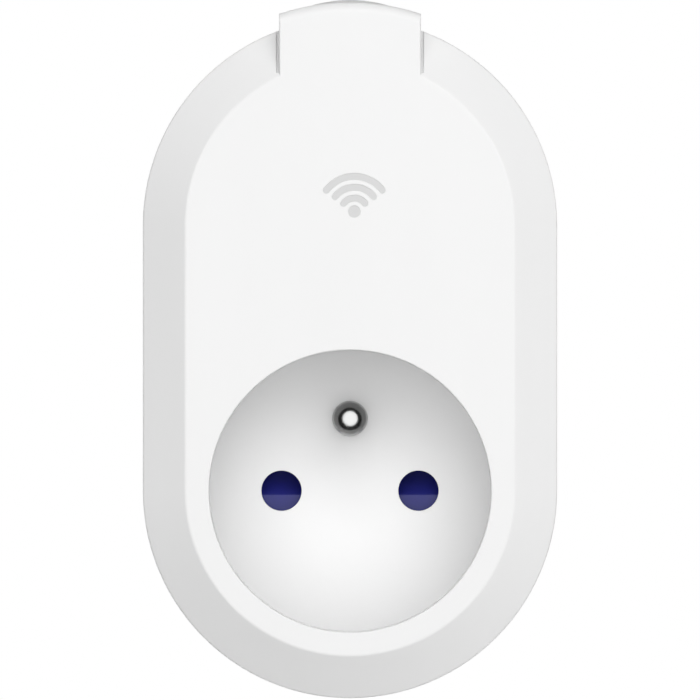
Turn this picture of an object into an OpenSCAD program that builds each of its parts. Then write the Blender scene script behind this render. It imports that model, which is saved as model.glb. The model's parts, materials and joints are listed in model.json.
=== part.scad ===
// Smart plug for a round recessed outlet with an earth pin.
// X is right, Z is up and +Y points into the wall. The origin is the middle of the plug's end face.
// A "depth" is measured from the flat front face of the housing, backwards along +Y.

/* [Body] */
// Width of the housing
body_w = 57.3; // [55:0.1:70]
// Distance between the outlet's axis and the centre of the top arc
axis_gap = 36.8; // [34:0.1:50]
// Depth of the housing from the front face to the back plate
body_d = 34; // [32:0.5:44]
// Wall thickness of the shells
wall = 2; // [1.6:0.1:2.4]
// Width of the sloping rim, seen from the front
rim_w = 5.9; // [4:0.1:6.5]
// How far the sloping rim falls back
rim_d = 4; // [3:0.1:5]
// Rounding between the front face and the sloping rim
face_edge_r = 0.8; // [0.3:0.1:1.5]
// Rounding between the sloping rim and the side wall
rim_edge_r = 0.5; // [0.2:0.1:1.6]
// Rounding of the back edge
back_edge_r = 2.5; // [0.5:0.1:3]
// Depth of the joint line between the two shells
parting_d = 24; // [23:0.5:26]
// Width of the shadow gap in the joint line
parting_gap = 0.3; // [0.1:0.05:0.5]

/* [Button tab] */
// Distance from the button's edge to the side of the tab
button_margin = 3.4; // [3:0.1:5]
// How far the tab stands beyond the housing's outline
tab_rise = 2.15; // [1.5:0.05:4]
// Wall thickness of the tab
tab_wall = 1.6; // [1.2:0.1:1.8]
// Radius of the tab's two upright front edges
tab_edge_r = 0.3; // [0.2:0.05:0.8]
// Radius of the edge along the tab's curved top
tab_top_edge_r = 1.5; // [0.3:0.1:1.8]
// Width of the groove beside the tab, in the rim
tab_groove_w = 0.38; // [0.2:0.02:0.8]
// Depth of the groove beside the tab
tab_groove_h = 0.4; // [0.2:0.05:0.8]
// Diameter of the push button
button_dia = 12.8; // [10:0.1:13]
// Height of the button's crown above the top of the tab
button_proud = 0.42; // [0.4:0.01:1]
// Radius of the button's domed top
button_crown_r = 19; // [14:0.5:40]
// Travel of the button
button_travel = 0.35; // [0.2:0.01:0.4]

/* [Outlet] */
// Clearance between a plug's round boss and the wall of the outlet's recess
recess_clear = 1; // [0.6:0.1:1.2]
// Depth of the outlet's recess
recess_depth = 15; // [14:0.1:15.5]
// Rounding of the recess's edge
recess_edge_r = 0.2; // [0.1:0.05:0.5]
// Thickness of the recess floor
floor_t = 2.5; // [2:0.1:3]
// Wall thickness around the recess
recess_wall = 1.8; // [1.4:0.1:2]
// Distance between the two contact holes, and between the two plug pins
pin_pitch = 19; // [18:0.1:20]
// Diameter of the contact holes
hole_dia = 5.6; // [5.2:0.1:6]
// Height of the earth pin above the line of the contact holes
earth_rise = 10; // [9.5:0.1:11]
// Diameter of the earth pin
earth_dia = 4.8; // [4:0.1:5]
// Distance from the front face down to the tip of the earth pin
earth_below = 1; // [0.5:0.1:3]

/* [Shutter] */
// Thickness of the shutter
shutter_t = 4; // [3:0.1:4.5]
// Turns of the shutter's spring
spring_turns = 6; // [4:1:8]
// Wire diameter of the shutter's spring
spring_wire = 0.4; // [0.3:0.05:0.5]
// Outer diameter of the shutter's spring
spring_dia = 4.2; // [3.5:0.1:4.6]

/* [Plug] */
// Distance from the centre of a plug pin to the edge of the round boss
boss_margin = 9; // [8.6:0.1:9.4]
// Height of the plug boss
boss_h = 17.5; // [16:0.1:20]
// Thickness of the boss's end wall
boss_end_t = 2.5; // [2:0.1:3]
// Wall thickness of the boss, which holds the side grooves
boss_wall = 3.9; // [3.7:0.1:4]
// Diameter of the plug pins
pin_dia = 4.8; // [4:0.1:5]
// Length of the plug pins outside the boss
pin_len = 19; // [17:0.1:20]
// Depth of the grooves of the earth clips
clip_depth = 2.2; // [1.8:0.1:2.4]
// Width of the earth clips
clip_w = 6.4; // [5:0.1:7]
// Thickness of the earth bracket's sheet
sheet_t = 0.8; // [0.6:0.05:0.9]

/* [Electronics] */
// Depth of the main board's front side
board_d = 6; // [5.8:0.1:6.5]
// Thickness of the main board
board_t = 1.6; // [1:0.1:1.8]
// Diameter of the insulated leads
lead_dia = 2.2; // [1.8:0.1:2.4]

/* [Hidden] */
$fn = 96;
e = 0.02;                 // overrun of a cut past the face that it opens
fit = 0.1;                // clearance between pieces that fit into each other
slip = 0.05;              // clearance of a turned piece in its hole

// Depths and heights that follow from the driving dimensions
front_y = -(body_d + boss_h);
body_r = body_w / 2;
face_r = body_r - rim_w;
inner_r = body_r - wall;
rim_slope = atan2(rim_d, rim_w);
boss_r = pin_pitch / 2 + boss_margin;
boss_bore_r = boss_r - boss_wall;
boss_spigot_r = boss_r - 0.6;
plug_face_d = body_d + boss_h;
boss_end_d = plug_face_d - boss_end_t;
recess_r = boss_r + recess_clear;
recess_out_r = recess_r + recess_wall;
floor_d = recess_depth + floor_t;
pin_x = pin_pitch / 2;
pin_r = pin_dia / 2;
hole_r = hole_dia / 2;

// Lap joint between the shells
tongue_t = 0.85;
tongue_h = 1.8;

// Housing screws: one in each corner, on the circle midway between recess wall and side wall
post_r = 2.8;
post_ring = (recess_out_r + inner_r) / 2;
post_top_d = parting_d + 2;
post_xz = [for (side = [-1, 1]) each [
    [side * post_ring * cos(45), -post_ring * sin(45)],
    [side * post_ring * cos(45), axis_gap + post_ring * sin(45)]]];
rear_post_r = 3.2;
screw_r = 1.35;
screw_hole_r = 1.6;
screw_pilot_r = 1.4;
screw_head_r = 2.5;
screw_head_h = 2;
screw_sink_r = 2.7;
screw_under_d = body_d - 5;
screw_len = screw_under_d - post_top_d + 9;

// Button tab and button
board_back_d = board_d + board_t;
button_d = board_back_d + 3.9;
button_r = button_dia / 2;
button_gap = 0.2;
flange_r = button_r + 0.8;
flange_t = 1;
tab_w = button_dia + 2 * button_margin;
tab_r = body_r + tab_rise;
tab_top_z = axis_gap + tab_r;
tab_cavity_r = tab_r - tab_wall;
tab_cavity_w = tab_w - 2 * tab_wall;
tab_cavity_d = button_d + flange_r + 0.5;
tab_d = tab_cavity_d + tab_wall * sqrt(2) + tab_cavity_r - body_r;
flange_top_z = axis_gap + sqrt(pow(tab_cavity_r, 2) - pow(flange_r, 2)) - 0.05;
switch_w = 6;
switch_h = 3.6;
plunger_r = 1.7;
plunger_up = 1.5;
plunger_in = 1;
board_top_z = axis_gap + inner_r - 3.4;
plunger_top_z = board_top_z + plunger_up;
stem_r = 2.2;

// Icon in the front face
icon_x = 0.6;
icon_z = axis_gap + 1.85;
icon_dot_r = 0.78;
icon_arc_t = 0.78;
icon_arc_mid_r = [1.85, 3.35, 4.85];
icon_half_angle = 53;
icon_plate_t = 1;

// Shutter and its guide
block_d = floor_d + slip;
cavity_d = block_d + shutter_t + 0.4;
shutter_d = block_d + 0.15;
shutter_half_w = pin_x + 4.1;
ramp_low_z = -0.6;
ramp_high_z = hole_r + 0.6;
ramp_end_t = 0.6;
shutter_travel = ramp_high_z + pin_dia / 2 + 0.1;
shutter_low_z = -hole_r - 4.2;
cavity_low_z = shutter_low_z - shutter_travel - 0.3;
cavity_high_z = ramp_high_z + 0.4;
shutter_lift = shutter_d + shutter_t / 2;
spring_z = shutter_low_z - 9;
spring_pocket_r = spring_dia / 2 + 0.3;
flange_block_r = recess_out_r - 0.5;
flange_block_d = cavity_d + 1.4;

// Outlet contacts and the block that holds them
contact_t = 0.6;
contact_w = 5;
contact_grip = pin_r - 0.2;
contact_mouth = pin_r + 0.7;
contact_back = pin_r + 0.35;
contact_d = flange_block_d + 0.15;
contact_end_d = recess_depth + pin_len + 1.2;
pocket_half_x = contact_mouth + contact_t + 0.15;
pocket_half_z = contact_w / 2 + 0.2;
block_half_x = pin_x + pocket_half_x + 0.4;
block_half_z = pocket_half_z + 1.6;
block_end_d = contact_end_d + contact_t + 0.2;
cover_t = 1.2;
cover_end_d = block_end_d + slip + cover_t;
back_d = body_d - wall;
bracket_d = back_d - slip - sheet_t;
leads_d = max(cover_end_d, bracket_d + sheet_t + 1.6);
tail_x = 1.65;
tail_half_z = 1.2;

// Screws that hold the contact block to the recess floor
block_screw_xz = [for (side = [-1, 1]) [side * 6.5, cavity_low_z - 3.2]];
block_post_r = 2;
block_post_d = floor_d + 2.9;
small_screw_r = 0.95;
small_pilot_r = 1;
small_hole_r = 1.3;
small_head_r = 1.9;
small_head_h = 1.4;

// Earth parts
earth_r = earth_dia / 2;
earth_flange_r = 3.4;
earth_flange_t = 1.2;
bracket_r = boss_r + 0.5;
earth_tail_r = 2;
earth_stub_r = 1.4;
earth_stub_len = 2.6;
shank_step = 0.2;
shank_sink = 0.4;
sleeve_bore_r = earth_r + 0.05;
sleeve_r = sleeve_bore_r + 0.75;
sleeve_shank_r = 2.6;
sleeve_d = bracket_d + sheet_t;
sleeve_bore_d = sleeve_d + 4.2;
sleeve_end_d = boss_end_d - 0.3;
clip_floor = boss_r - clip_depth;
clip_z = clip_floor + slip;
clip_end_d = plug_face_d - 1.4;
clip_toe_d = clip_end_d - sheet_t;
clip_toe = 1.2;
groove_w = clip_w + 1.6;
guide_w = 5.6;
guide_depth = 2;

// Plug pins and their retainer
pin_flange_r = 3.5;
pin_flange_t = 1.5;
pin_tail_r = 1.6;
pin_tail_d = leads_d + 3.2;
retainer_t = 2.2;
retainer_d = boss_end_d - pin_flange_t - slip - retainer_t;
neutral_tail_d = min(pin_tail_d + 3, retainer_d - 0.3);
retainer_r = boss_bore_r - 0.3;
retainer_screw_xz = [[-7, -9.5], [7, -9.5]];

// Main board and what stands on it
board_r = inner_r - 0.8;
board_low_z = 14;
board_screw_xz = [for (side = [-1, 1]) [side * (inner_r - 5.1), board_low_z + 4]];
relay_w = 15.4;
relay_l = 19.2;
relay_h = 15.6;
relay_wall = 0.6;
relay_base_h = 1.4;
relay_x = -11.5;
relay_z = recess_out_r + relay_l / 2 + 4.6;
relay_d = board_back_d + 0.3;
pivot_h = 12.9;
pivot_z = relay_z - 7.4;
core_z = relay_z - 0.6;
relay_pin_xz = [[-5, -7.5], [5, -7.5], [-5, 7], [0, 7.6], [5, 7]];
relay_pin_r = 0.45;
bulk_cap_xz = [[9, board_top_z - 9], [-8, board_top_z - 8.2]];
bulk_cap_r = [5, 4];
bulk_cap_h = [16, 12];
output_cap_xz = post_xz[3] - [-0.05, 8.7];
lead_r = lead_dia / 2;
lead_hole_xz = [[pin_x - 2, -9], [pin_x, 7.8], [-pin_x, 7.8]];
line_in_pad = [17.5, recess_out_r - 0.8];
line_out_pad = [-10, recess_out_r + 1];
neutral_pad = [8.5, recess_out_r + 2.4];

// ---------------------------------------------------------------- helpers

function y(depth) = front_y + depth;

// Points of a rounding of radius r at corner v, between faces whose normals stand at angles a0 and a1
function unit(a) = [cos(a), sin(a)];
function inset(v, a0, a1, t) = v - t * (unit(a0) + unit(a1)) / (1 + unit(a0) * unit(a1));
function rounding(v, a0, a1, r, n = 6) =
    [for (i = [0:n]) inset(v, a0, a1, r) + r * unit(a0 + (a1 - a0) * i / n)];

// A 2D shape in X and Z, from one depth to another
module prism(d0, d1) {
    translate([0, y(d1), 0]) rotate([90, 0, 0]) linear_extrude(d1 - d0) children();
}

// A round bar along the depth axis
module rod(r, d0, d1, x = 0, z = 0) {
    translate([x, y(d0), z]) rotate([-90, 0, 0]) cylinder(r = r, h = d1 - d0);
}

// A turned piece along the depth axis, from points [radius, depth]
module turned(points, x = 0, z = 0) {
    translate([x, y(0), z]) rotate([-90, 0, 0]) rotate_extrude() polygon(points);
}

// A box between two limits along X, depth and Z
module block(x, d, z) {
    translate([x[0], y(d[0]), z[0]]) cube([x[1] - x[0], d[1] - d[0], z[1] - z[0]]);
}

// Sweeps a profile of points [distance from the centreline, depth] round the body's outline
module round_body(profile) {
    for (top = [0, 1]) translate([0, y(0), top * axis_gap]) mirror([0, 0, top])
        rotate([-90, 0, 0]) rotate_extrude(angle = 180) polygon(profile);
    for (side = [0, 1]) mirror([side, 0, 0])
        translate([0, y(0), 0]) linear_extrude(axis_gap) polygon(profile);
}

module outline_2d(r) {
    circle(r);
    translate([0, axis_gap]) circle(r);
    translate([-r, 0]) square([2 * r, axis_gap]);
}

// Rounded end of a pin, outermost point first; back is 1 where the pin lies deeper than its tip
function pin_tip(r, edge, tip_d, back, n = 20) =
    [for (i = [0:n]) [r - edge * (1 - cos(i * 90 / n)), tip_d + back * edge * (1 - sin(i * 90 / n))]];

// Thick shank of a pin, from the wall's depth wall_d, and the neck that ends at the face of depth face_d
function shank(r, wall_d, face_d) =
    let (sink_d = face_d + (wall_d > face_d ? shank_sink : -shank_sink)) [
        [r + shank_step, wall_d], [r + shank_step, sink_d],
        [r - shank_step, sink_d], [r - shank_step, face_d], [r, face_d]];

// Hole for such a shank, tight round the pin at the face
module shank_hole(r, face_d, wall_d, x, z = 0) {
    way = wall_d > face_d ? 1 : -1;
    for (cut = [[r + slip, face_d - way * e], [r + shank_step + slip, face_d + way * shank_sink]])
        rod(cut[0], min(cut[1], wall_d + way * e), max(cut[1], wall_d + way * e), x, z);
}

// Two limits measured from a base
function span(base, low, high) = [base + low, base + high];

// Self-tapping screw whose head's underside is at depth 0 and whose tip points to the front
module screw(r, head_r, head_h, len, slot_r) {
    difference() {
        rotate([-90, 0, 0]) union() {
            cylinder(r = head_r, h = head_h);
            translate([0, 0, -len]) cylinder(r = r, h = len + e);
        }
        for (turn = [0:60:120]) rotate([0, turn, 0])
            translate([-slot_r, head_h - 0.9, -slot_r / 4.5]) cube([2 * slot_r, 1, slot_r / 2.25]);
    }
}

// A tube along points, as rings of sides square to the path
function ahead(p, i) = let (n = len(p) - 1) p[min(i + 1, n)] - p[max(i - 1, 0)];
function across(t) = let (a = abs(t.x) < 0.9 * norm(t) ? [1, 0, 0] : [0, 0, 1], c = cross(t, a)) c / norm(c);
function carried(n, t) = let (u = t / norm(t), f = n - (n * u) * u) f / norm(f);
function frames(p, i = 0, n = undef) = i == len(p) ? [] :
    let (t = ahead(p, i), f = is_undef(n) ? across(t) : carried(n, t)) concat([f], frames(p, i + 1, f));
module tube(points, r, sides = 8) {
    f = frames(points);
    rings = len(points);
    verts = [for (i = [0:rings - 1]) let (t = ahead(points, i), b = cross(t, f[i]) / norm(t))
        for (k = [0:sides - 1]) points[i] + r * (cos(360 * k / sides) * f[i] + sin(360 * k / sides) * b)];
    faces = concat(
        [[for (k = [sides - 1:-1:0]) k]],
        [for (i = [0:rings - 2]) for (k = [0:sides - 1]) let (k2 = (k + 1) % sides)
            [i * sides + k, i * sides + k2, (i + 1) * sides + k2, (i + 1) * sides + k]],
        [[for (k = [0:sides - 1]) (rings - 1) * sides + k]]);
    polyhedron(verts, [for (f = faces) [for (i = [len(f) - 1:-1:0]) f[i]]], convexity = 6);
}

// A smooth path through corner points, each corner rounded with a quadratic curve
function bend(a, b, c, n = 4) = let (p = (a + b) / 2, q = (b + c) / 2)
    [for (i = [1:n]) let (s = i / n) (1 - s) * (1 - s) * p + 2 * s * (1 - s) * b + s * s * q];
function route(p) = concat([p[0], (p[0] + p[1]) / 2],
    [for (i = [1:len(p) - 2]) each bend(p[i - 1], p[i], p[i + 1])], [p[len(p) - 1]]);

// ---------------------------------------------------------------- housing

module outer_front() {
    round_body(concat(
        [[0, 0]],
        rounding([face_r, 0], -90, rim_slope - 90, face_edge_r),
        rounding([body_r, rim_d], rim_slope - 90, 0, rim_edge_r),
        [[body_r, parting_d], [0, parting_d]]));
}

module cavity_front() {
    round_body([
        [0, wall],
        inset([face_r, 0], -90, rim_slope - 90, wall),
        inset([body_r, rim_d], rim_slope - 90, 0, wall),
        [inner_r, parting_d + e], [0, parting_d + e]]);
}

// Tab with rounded front edges: an upright bar cut to the arc of its top
module tab() {
    half_w = tab_w / 2;
    side = concat(rounding([half_w, 0], -90, 0, tab_edge_r), [[half_w, tab_d]]);
    intersection() {
        translate([0, y(0), axis_gap + face_r / 2]) linear_extrude(body_r)
            polygon(concat(side, [for (i = [len(side) - 1:-1:0]) [-side[i].x, side[i].y]]));
        turned(concat([[0, 0]], rounding([tab_r, 0], -90, 0, tab_top_edge_r),
            [[tab_r, tab_d - tab_rise], [body_r - e, tab_d], [0, tab_d]]), z = axis_gap);
    }
}

// Shallow grooves in the sloping rim, along both sides of the tab
module tab_grooves() {
    low_z = axis_gap + sqrt(pow(face_r, 2) - pow(tab_w / 2, 2)) + 0.5;
    out = body_r + 1;
    difference() {
        for (side = [0, 1]) mirror([side, 0, 0])
            block([tab_w / 2 - 0.2, tab_w / 2 + tab_groove_w], [-e, rim_d + 1.5],
                [low_z, axis_gap + body_r + 0.5]);
        turned([[0, tab_groove_h], [face_r, tab_groove_h],
            [out, tab_groove_h + (out - face_r) * rim_d / rim_w],
            [out, rim_d + 3], [0, rim_d + 3]], z = axis_gap);
    }
}

// A curved stroke with round ends, opening upwards
function stroke(r, t, half, n = 12) = concat(
    [for (i = [-n:n]) (r + t / 2) * [sin(i * half / n), cos(i * half / n)]],
    [for (i = [1:5]) let (a = half + 30 * i) r * [sin(half), cos(half)] + t / 2 * [sin(a), cos(a)]],
    [for (i = [n:-1:-n]) (r - t / 2) * [sin(i * half / n), cos(i * half / n)]],
    [for (i = [1:5]) let (a = 180 - half + 30 * i) r * [-sin(half), cos(half)] + t / 2 * [sin(a), cos(a)]]);

module icon_2d(grow = 0) {
    circle(icon_dot_r + grow);
    for (r = icon_arc_mid_r) polygon(stroke(r, icon_arc_t + 2 * grow, icon_half_angle));
}

module front_shell() color("whitesmoke") {
    difference() {
        union() {
            difference() {
                union() {
                    difference() {
                        outer_front();
                        tab_grooves();
                    }
                    tab();
                }
                cavity_front();
                prism(wall, tab_cavity_d) intersection() {
                    translate([0, axis_gap]) circle(tab_cavity_r);
                    translate([-tab_cavity_w / 2, axis_gap + face_r / 2]) square([tab_cavity_w, body_r]);
                }
            }
            rod(recess_out_r, e, floor_d);
            for (p = post_xz) intersection() {
                rod(post_r, wall - e, post_top_d, p.x, p.y);
                round_body([[0, wall - e], [face_r, wall - e], [inner_r + e, rim_d + wall],
                    [inner_r + e, post_top_d], [0, post_top_d]]);
            }
            for (p = board_screw_xz) rod(2.4, wall - e, board_d - slip, p.x, p.y);
            for (p = block_screw_xz) rod(block_post_r, floor_d - e, block_post_d, p.x, p.y);
        }
        // recess, contact holes and the earth pin's hole
        turned(concat([[0, -e], [recess_r + recess_edge_r, -e]],
            [for (a = [0:15:90]) [recess_r, 0] + recess_edge_r * [1 - sin(a), 1 - cos(a)]],
            [[recess_r, recess_depth], [0, recess_depth]]));
        for (side = [-1, 1]) rod(hole_r, recess_depth - e, floor_d + e, side * pin_x);
        shank_hole(earth_r, recess_depth, floor_d, 0, earth_rise);
        // pilot holes
        for (p = post_xz) rod(screw_pilot_r, screw_under_d - screw_len - 0.5, post_top_d + e, p.x, p.y);
        for (p = board_screw_xz) rod(small_pilot_r, wall + 0.6, board_d + e, p.x, p.y);
        for (p = block_screw_xz) rod(small_pilot_r, recess_depth + 0.8, block_post_d + e, p.x, p.y);
        // rebate for the rear shell's tongue
        round_body([for (p = [[-fit, -tongue_h - 0.2], [tongue_t + fit, -tongue_h - 0.2],
            [tongue_t + fit, 5], [-fit, 5]]) [inner_r, parting_d] + p]);
        // button hole and icon windows
        translate([0, y(button_d), tab_top_z - 2 * tab_wall - 1])
            cylinder(r = button_r + button_gap, h = 3 * tab_wall + 2);
        translate([0, 0, icon_z]) translate([icon_x, 0, 0]) prism(-e, wall + e) icon_2d(slip);
    }
}

module rear_shell() color("whitesmoke") {
    difference() {
        union() {
            difference() {
                round_body(concat(
                    [[0, parting_d + parting_gap], [body_r, parting_d + parting_gap]],
                    rounding([body_r, body_d], 0, 90, back_edge_r),
                    [[0, body_d]]));
                round_body([[0, parting_d], [inner_r, parting_d], [inner_r, back_d - 1],
                    [inner_r - 1, back_d], [0, back_d]]);
            }
            round_body([for (p = [[0, -tongue_h], [tongue_t, -tongue_h],
                [tongue_t, parting_gap + e], [0, parting_gap + e]]) [inner_r, parting_d] + p]);
            for (p = post_xz) intersection() {
                rod(rear_post_r, post_top_d + slip, body_d - 0.5, p.x, p.y);
                round_body([[0, parting_d], [inner_r + e, parting_d],
                    [inner_r + e, body_d - 1], [0, body_d - 1]]);
            }
        }
        rod(boss_spigot_r + slip, back_d - 1, body_d + e);
        // housing screws
        for (p = post_xz) {
            rod(screw_hole_r, parting_d, body_d + e, p.x, p.y);
            rod(screw_sink_r, screw_under_d, body_d + e, p.x, p.y);
        }
        // blank label field
        prism(body_d - 0.2, body_d + e) translate([0, axis_gap + 5]) square([32, 20], center = true);
    }
}

// Round boss, with a spigot that fills the hole in the back plate
module plug_boss() color("whitesmoke") {
    difference() {
        union() {
            rod(boss_spigot_r, back_d, body_d + e);
            rod(boss_r, body_d, plug_face_d);
        }
        // hollow, with short posts for the retainer's screws
        difference() {
            rod(boss_bore_r, back_d - e, boss_end_d);
            for (p = retainer_screw_xz)
                rod(block_post_r, retainer_d + retainer_t + slip, boss_end_d + e, p.x, p.y);
        }
        for (p = retainer_screw_xz) rod(small_pilot_r, retainer_d, plug_face_d - 0.8, p.x, p.y);
        // holes for the plug pins and for the wall outlet's earth pin
        for (side = [-1, 1]) shank_hole(pin_r, plug_face_d, boss_end_d, side * pin_x);
        rod(sleeve_bore_r + 0.45, boss_end_d - e, plug_face_d + e, 0, earth_rise);
        // grooves for the earth clips, and pockets for their toes
        for (top = [0, 1]) mirror([0, 0, top]) {
            block([-groove_w / 2, groove_w / 2], [body_d, plug_face_d + e], [clip_floor, boss_r + 1]);
            block([-clip_w / 2 - fit, clip_w / 2 + fit], [back_d - 1, body_d + e], [clip_floor, boss_r + 1]);
            block([-clip_w / 3 - fit, clip_w / 3 + fit], [clip_toe_d - fit, clip_end_d + fit],
                [clip_floor - clip_toe - fit, clip_floor + e]);
        }
        // side grooves that guide the plug
        for (side = [0, 1]) mirror([side, 0, 0])
            block([boss_r - guide_depth, boss_r + 1], [body_d + 1, plug_face_d + e],
                [-guide_w / 2, guide_w / 2]);
    }
}

module housing_screws() color("silver")
    for (p = post_xz) translate([p.x, y(screw_under_d + e), p.y])
        screw(screw_r, screw_head_r, screw_head_h, screw_len, 1.5);

module icon_light_guide() color("gainsboro") translate([icon_x, 0, icon_z]) {
    prism(0.04, wall + slip + e) icon_2d();
    prism(wall + slip, wall + slip + icon_plate_t) translate([-5.6, -2]) square([11.2, 8.6]);
}

module power_button() color("white") translate([0, y(button_d), 0]) {
    crown_z = tab_top_z + button_proud;
    intersection() {
        translate([0, 0, flange_top_z - e]) cylinder(r = button_r, h = crown_z - flange_top_z + 1);
        translate([0, 0, crown_z - button_crown_r]) sphere(r = button_crown_r);
    }
    translate([0, 0, flange_top_z - flange_t]) cylinder(r = flange_r, h = flange_t);
    translate([0, 0, plunger_top_z + e]) cylinder(r = stem_r, h = flange_top_z - plunger_top_z - e);
}

// ---------------------------------------------------------------- outlet

module shutter() color("midnightblue") {
    back = shutter_d + shutter_t;
    half_w = shutter_half_w - pin_x;
    for (side = [-1, 1]) difference() {
        block(span(side * pin_x, -half_w, half_w), [shutter_d, back], [shutter_low_z, ramp_high_z]);
        translate([side * pin_x - half_w - 1, 0, 0]) rotate([90, 0, 90]) linear_extrude(2 * half_w + 2)
            polygon([[y(shutter_d - 1), ramp_low_z], [y(shutter_d), ramp_low_z],
                [y(back - ramp_end_t), ramp_high_z], [y(back - ramp_end_t), ramp_high_z + 1],
                [y(shutter_d - 1), ramp_high_z + 1]]);
    }
    // web between the two flaps, thinner where it passes the earth pin's foot
    difference() {
        block([-pin_x, pin_x], [shutter_d + 0.4, back], [shutter_low_z, ramp_low_z - 1]);
        block([-4, 4], [shutter_d, shutter_d + shutter_t / 3], [shutter_low_z - 1, ramp_low_z]);
    }
}

// Height along the spring at a share s of its turns, with the end turns closed
function coil_rise(s, n) = let (end = 1 / n, low = 0.25 * end)
    s < end ? 0.25 * s : s > 1 - end ? 1 - 0.25 * (1 - s) :
    low + (s - end) * (1 - 2 * low) / (1 - 2 * end);

module shutter_spring() color("silver") {
    mid_r = (spring_dia - spring_wire) / 2;
    len = shutter_low_z - spring_z - spring_wire - 2 * e;
    steps = 14 * spring_turns;
    foot_z = spring_z + spring_wire / 2 + e;
    tube([for (i = [0:steps]) let (a = 360 * i / 14, rise = len * coil_rise(i / steps, spring_turns))
        [mid_r * cos(a), y(shutter_lift) + mid_r * sin(a), foot_z + rise]], spring_wire / 2, 6);
}

module contact_block() color("lightgray") {
    difference() {
        union() {
            rod(flange_block_r, block_d, flange_block_d);
            block([-block_half_x, block_half_x], [block_d, block_end_d], [-block_half_z, block_half_z]);
        }
        // guide of the shutter and pocket of its spring
        block((shutter_half_w + 0.25) * [-1, 1], [block_d - e, cavity_d], [cavity_low_z, cavity_high_z]);
        translate([0, y(shutter_lift), spring_z])
            cylinder(r = spring_pocket_r, h = cavity_low_z - spring_z + 1);
        block([-spring_pocket_r, spring_pocket_r], [block_d - e, shutter_lift], [spring_z, cavity_low_z + 1]);
        // contact pockets
        for (side = [-1, 1]) {
            rod(hole_r + 0.1, cavity_d - 1, contact_d, side * pin_x);
            block(span(side * pin_x, -pocket_half_x, pocket_half_x), [flange_block_d, block_end_d + e],
                [-pocket_half_z, pocket_half_z]);
        }
        // earth pin and fixing screws
        rod(earth_flange_r + 0.2, block_d - e, floor_d + earth_flange_t + 0.15, 0, earth_rise);
        rod(earth_tail_r + fit, block_d, flange_block_d + e, 0, earth_rise);
        for (p = block_screw_xz) {
            rod(block_post_r + 0.2, block_d - e, block_post_d + fit, p.x, p.y);
            rod(small_hole_r, block_post_d, flange_block_d + e, p.x, p.y);
        }
        // room for the housing's posts
        for (p = post_xz) rod(rear_post_r + 0.3, block_d - 1, flange_block_d + 1, p.x, p.y);
    }
}

module contact_block_screws() color("silver")
    for (p = block_screw_xz) translate([p.x, y(flange_block_d + e), p.y])
        screw(small_screw_r, small_head_r, small_head_h, flange_block_d - recess_depth - 1.2, 1.1);

module contact_cover() color("lightgray") {
    difference() {
        block([-block_half_x, block_half_x], [block_end_d + slip, cover_end_d],
            [-block_half_z, block_half_z]);
        for (side = [0, 1]) mirror([side, 0, 0])
            block(span(pin_x + tail_x, -0.2, contact_t + 0.2), [block_end_d, cover_end_d + e],
                [-tail_half_z - 0.2, tail_half_z + 0.2]);
    }
}

// Female contact: two sprung leaves joined at the back, with a flat tail for the lead
module outlet_contact(tail_end_d) {
    grip_d = contact_d + 3.2;
    for (leaf = [0, 1]) translate([pin_x, 0, -contact_w / 2]) mirror([leaf, 0, 0]) linear_extrude(contact_w)
        polygon([[contact_mouth, y(contact_d)], [contact_grip, y(grip_d)], [contact_back, y(grip_d + 3)],
            [contact_back, y(contact_end_d)], [contact_back + contact_t, y(contact_end_d)],
            [contact_back + contact_t, y(grip_d + 2.8)], [contact_grip + contact_t, y(grip_d)],
            [contact_mouth + contact_t * 0.9, y(contact_d)]]);
    root = contact_back + contact_t;
    block(span(pin_x, -root, root), span(contact_end_d, -e, contact_t), [-contact_w / 2, contact_w / 2]);
    block(span(pin_x + tail_x, 0, contact_t), [contact_end_d, tail_end_d], [-tail_half_z, tail_half_z]);
}

module line_outlet_contact() color("goldenrod") outlet_contact(leads_d + 1.2);

// Its longer tail is soldered straight to the plug pin
module neutral_outlet_contact() color("goldenrod") mirror([1, 0, 0]) outlet_contact(neutral_tail_d);

module outlet_earth_pin() color("silver") {
    tip_d = earth_below;
    stub_end_d = bracket_d + sheet_t + earth_stub_len;
    turned(concat([[0, stub_end_d], [earth_stub_r, stub_end_d], [earth_stub_r, bracket_d],
        [earth_tail_r, bracket_d], [earth_tail_r, floor_d + earth_flange_t],
        [earth_flange_r, floor_d + earth_flange_t], [earth_flange_r, floor_d]],
        shank(earth_r, floor_d, recess_depth),
        pin_tip(earth_r, earth_r - 0.1, tip_d, 1), [[0, tip_d]]), 0, earth_rise);
}

// ---------------------------------------------------------------- plug

module earth_bracket() color("silver") {
    difference() {
        rod(bracket_r, bracket_d, bracket_d + sheet_t);
        block((block_half_x + 0.4) * [-1, 1], [bracket_d - 1, bracket_d + 2],
            (block_half_z + 0.4) * [-1, 1]);
        rod(earth_stub_r + 0.02, bracket_d - 1, bracket_d + 2, 0, earth_rise);
        for (p = lead_hole_xz) rod(lead_r + 0.5, bracket_d - 1, bracket_d + 2, p.x, p.y);
    }
    for (top = [0, 1]) mirror([0, 0, top]) {
        block([-clip_w / 2, clip_w / 2], [bracket_d, clip_end_d], [clip_z, clip_z + sheet_t]);
        block([-clip_w / 3, clip_w / 3], [clip_toe_d, clip_end_d], [clip_floor - clip_toe, clip_z + e]);
    }
}

module plug_earth_sleeve() color("silver") {
    difference() {
        union() {
            rod(sleeve_shank_r, sleeve_d, sleeve_bore_d, 0, earth_rise);
            rod(sleeve_r, sleeve_bore_d - 0.6, sleeve_end_d, 0, earth_rise);
        }
        rod(earth_stub_r + 0.02, sleeve_d - e, sleeve_d + earth_stub_len + 0.2, 0, earth_rise);
        rod(sleeve_bore_r, sleeve_bore_d, sleeve_end_d + e, 0, earth_rise);
        block([-0.4, 0.4], [sleeve_bore_d + 1.5, sleeve_end_d + e], span(earth_rise, 1, sleeve_r + 1));
    }
}

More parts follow.
